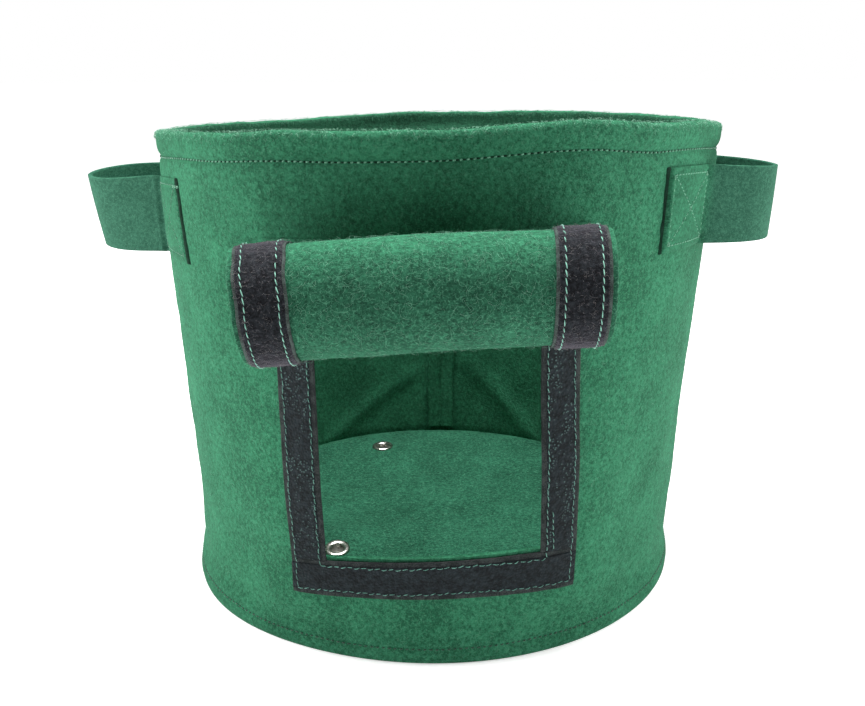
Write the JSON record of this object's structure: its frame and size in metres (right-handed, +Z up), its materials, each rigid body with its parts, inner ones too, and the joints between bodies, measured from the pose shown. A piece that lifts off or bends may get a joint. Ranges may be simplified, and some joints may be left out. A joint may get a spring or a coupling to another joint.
{
  "type": "fabric grow bag",
  "caption": "Round felt planter bag with a roll-up harvest flap over a side window, strap handles and eyelets in its base for drainage.",
  "frame": {"origin": "on the bag's axis, on the ground under it", "axes": "+Z up; -Y out through the harvest window; +X to the right of someone who faces the window"},
  "size_m": [0.4317, 0.4117, 0.297],
  "materials": {
    "green_felt": "matte",
    "base_felt": "matte",
    "strap_felt": "matte",
    "hook_tape": "matte",
    "loop_tape": "matte",
    "tape_thread": "satin",
    "felt_thread": "satin",
    "eyelet_metal": "polished"
  },
  "bodies": {
    "root": {"back_seam_allowance": "green_felt", "back_seam_thread": "felt_thread", "base_disc": "base_felt", "drain_eyelets": "eyelet_metal", "eyelet_washers": "eyelet_metal", "flap_header": "green_felt", "flap_header_thread": "felt_thread", "foot_thread": "felt_thread", "handle_left_sewn_ends": "strap_felt", "handle_left_thread": "felt_thread", "handle_right_sewn_ends": "strap_felt", "handle_right_thread": "felt_thread", "hem_thread": "felt_thread", "hook_tape_bottom": "hook_tape", "hook_tape_left": "hook_tape", "hook_tape_right": "hook_tape", "hook_tape_thread": "tape_thread", "side_wall": "green_felt"},
    "handle_left": {"handle_left_loop": "strap_felt"},
    "handle_right": {"handle_right_loop": "strap_felt"},
    "flap_1": {"flap_panel_1": "green_felt", "loop_tapes_1": "loop_tape"},
    "flap_2": {"flap_panel_2": "green_felt", "loop_tapes_2": "loop_tape"},
    "flap_3": {"flap_panel_3": "green_felt", "loop_tapes_3": "loop_tape"},
    "flap_4": {"flap_panel_4": "green_felt", "loop_tapes_4": "loop_tape"},
    "flap_5": {"flap_panel_5": "green_felt", "loop_tapes_5": "loop_tape"},
    "flap_6": {"flap_panel_6": "green_felt", "loop_tapes_6": "loop_tape"},
    "flap_7": {"flap_panel_7": "green_felt", "loop_tapes_7": "loop_tape"},
    "flap_8": {"flap_panel_8": "green_felt", "loop_tapes_8": "loop_tape"},
    "flap_9": {"flap_panel_9": "green_felt", "loop_tapes_9": "loop_tape"},
    "flap_10": {"flap_panel_10": "green_felt", "loop_tapes_10": "loop_tape"},
    "flap_11": {"flap_panel_11": "green_felt", "loop_tapes_11": "loop_tape"},
    "flap_12": {"flap_panel_12": "green_felt", "loop_tapes_12": "loop_tape"},
    "flap_13": {"flap_panel_13": "green_felt", "loop_tapes_13": "loop_tape"},
    "flap_14": {"flap_panel_14": "green_felt", "loop_tapes_14": "loop_tape"},
    "flap_15": {"flap_panel_15": "green_felt", "loop_tapes_15": "loop_tape"},
    "flap_16": {"flap_panel_16": "green_felt", "loop_tapes_16": "loop_tape"},
    "flap_17": {"flap_panel_17": "green_felt", "loop_tape_bottom_1": "loop_tape"},
    "flap_18": {"flap_panel_18": "green_felt", "loop_tape_bottom_2": "loop_tape"}
  },
  "joints": [
    {"name": "handle_left_lift", "type": "hinge", "parent": "root", "child": "handle_left", "pos_m": [-0.16934, -0.00591, 0.272], "axis": [-0.0349, 0.9994, 0], "range_deg": [0, 60]},
    {"name": "handle_right_lift", "type": "hinge", "parent": "root", "child": "handle_right", "pos_m": [0.16736, -0.02651, 0.272], "axis": [-0.1564, -0.9877, 0], "range_deg": [0, 60]},
    {"name": "flap_lift", "type": "hinge", "parent": "root", "child": "flap_1", "pos_m": [0, -0.17918, 0.2356], "axis": [-1, 0, 0], "range_deg": [0, 40]},
    {"name": "flap_unroll", "type": "hinge", "parent": "flap_1", "child": "flap_2", "pos_m": [0, -0.17532, 0.21979], "axis": [1, 0, 0], "range_deg": [0, 22.5]},
    {"name": "flap_bend_2", "type": "hinge", "parent": "flap_2", "child": "flap_3", "pos_m": [0, -0.17911, 0.20903], "axis": [1, 0, 0], "range_deg": [0, 22.5]},
    {"name": "flap_bend_3", "type": "hinge", "parent": "flap_3", "child": "flap_4", "pos_m": [0, -0.18672, 0.20055], "axis": [1, 0, 0], "range_deg": [0, 22.5]},
    {"name": "flap_bend_4", "type": "hinge", "parent": "flap_4", "child": "flap_5", "pos_m": [0, -0.197, 0.19562], "axis": [1, 0, 0], "range_deg": [0, 22.5]},
    {"name": "flap_bend_5", "type": "hinge", "parent": "flap_5", "child": "flap_6", "pos_m": [0, -0.20838, 0.195], "axis": [1, 0, 0], "range_deg": [0, 22.5]},
    {"name": "flap_bend_6", "type": "hinge", "parent": "flap_6", "child": "flap_7", "pos_m": [0, -0.21914, 0.19879], "axis": [1, 0, 0], "range_deg": [0, 22.5]},
    {"name": "flap_bend_7", "type": "hinge", "parent": "flap_7", "child": "flap_8", "pos_m": [0, -0.22762, 0.2064], "axis": [1, 0, 0], "range_deg": [0, 22.5]},
    {"name": "flap_bend_8", "type": "hinge", "parent": "flap_8", "child": "flap_9", "pos_m": [0, -0.23255, 0.21668], "axis": [1, 0, 0], "range_deg": [0, 22.5]},
    {"name": "flap_bend_9", "type": "hinge", "parent": "flap_9", "child": "flap_10", "pos_m": [0, -0.23315, 0.22774], "axis": [1, 0, 0], "range_deg": [0, 22.5]},
    {"name": "flap_bend_10", "type": "hinge", "parent": "flap_10", "child": "flap_11", "pos_m": [0, -0.22958, 0.23787], "axis": [1, 0, 0], "range_deg": [0, 22.5]},
    {"name": "flap_bend_11", "type": "hinge", "parent": "flap_11", "child": "flap_12", "pos_m": [0, -0.22263, 0.24562], "axis": [1, 0, 0], "range_deg": [0, 22.5]},
    {"name": "flap_bend_12", "type": "hinge", "parent": "flap_12", "child": "flap_13", "pos_m": [0, -0.21354, 0.24997], "axis": [1, 0, 0], "range_deg": [0, 22.5]},
    {"name": "flap_bend_13", "type": "hinge", "parent": "flap_13", "child": "flap_14", "pos_m": [0, -0.2038, 0.2505], "axis": [1, 0, 0], "range_deg": [0, 22.5]},
    {"name": "flap_bend_14", "type": "hinge", "parent": "flap_14", "child": "flap_15", "pos_m": [0, -0.19492, 0.24737], "axis": [1, 0, 0], "range_deg": [0, 22.5]},
    {"name": "flap_bend_15", "type": "hinge", "parent": "flap_15", "child": "flap_16", "pos_m": [0, -0.18815, 0.2413], "axis": [1, 0, 0], "range_deg": [0, 22.5]},
    {"name": "flap_bend_16", "type": "hinge", "parent": "flap_16", "child": "flap_17", "pos_m": [0, -0.18437, 0.2334], "axis": [1, 0, 0], "range_deg": [0, 22.5]},
    {"name": "flap_bend_17", "type": "hinge", "parent": "flap_17", "child": "flap_18", "pos_m": [0, -0.18401, 0.22691], "axis": [1, 0, 0], "range_deg": [0, 22.5]}
  ],
  "couplings": [
    {"joint": "flap_bend_2", "follows": "flap_unroll", "ratio": 1},
    {"joint": "flap_bend_3", "follows": "flap_unroll", "ratio": 1},
    {"joint": "flap_bend_4", "follows": "flap_unroll", "ratio": 1},
    {"joint": "flap_bend_5", "follows": "flap_unroll", "ratio": 1},
    {"joint": "flap_bend_6", "follows": "flap_unroll", "ratio": 1},
    {"joint": "flap_bend_7", "follows": "flap_unroll", "ratio": 1},
    {"joint": "flap_bend_8", "follows": "flap_unroll", "ratio": 1},
    {"joint": "flap_bend_9", "follows": "flap_unroll", "ratio": 1},
    {"joint": "flap_bend_10", "follows": "flap_unroll", "ratio": 1},
    {"joint": "flap_bend_11", "follows": "flap_unroll", "ratio": 1},
    {"joint": "flap_bend_12", "follows": "flap_unroll", "ratio": 1},
    {"joint": "flap_bend_13", "follows": "flap_unroll", "ratio": 1},
    {"joint": "flap_bend_14", "follows": "flap_unroll", "ratio": 1},
    {"joint": "flap_bend_15", "follows": "flap_unroll", "ratio": 1},
    {"joint": "flap_bend_16", "follows": "flap_unroll", "ratio": 1},
    {"joint": "flap_bend_17", "follows": "flap_unroll", "ratio": 1}
  ]
}
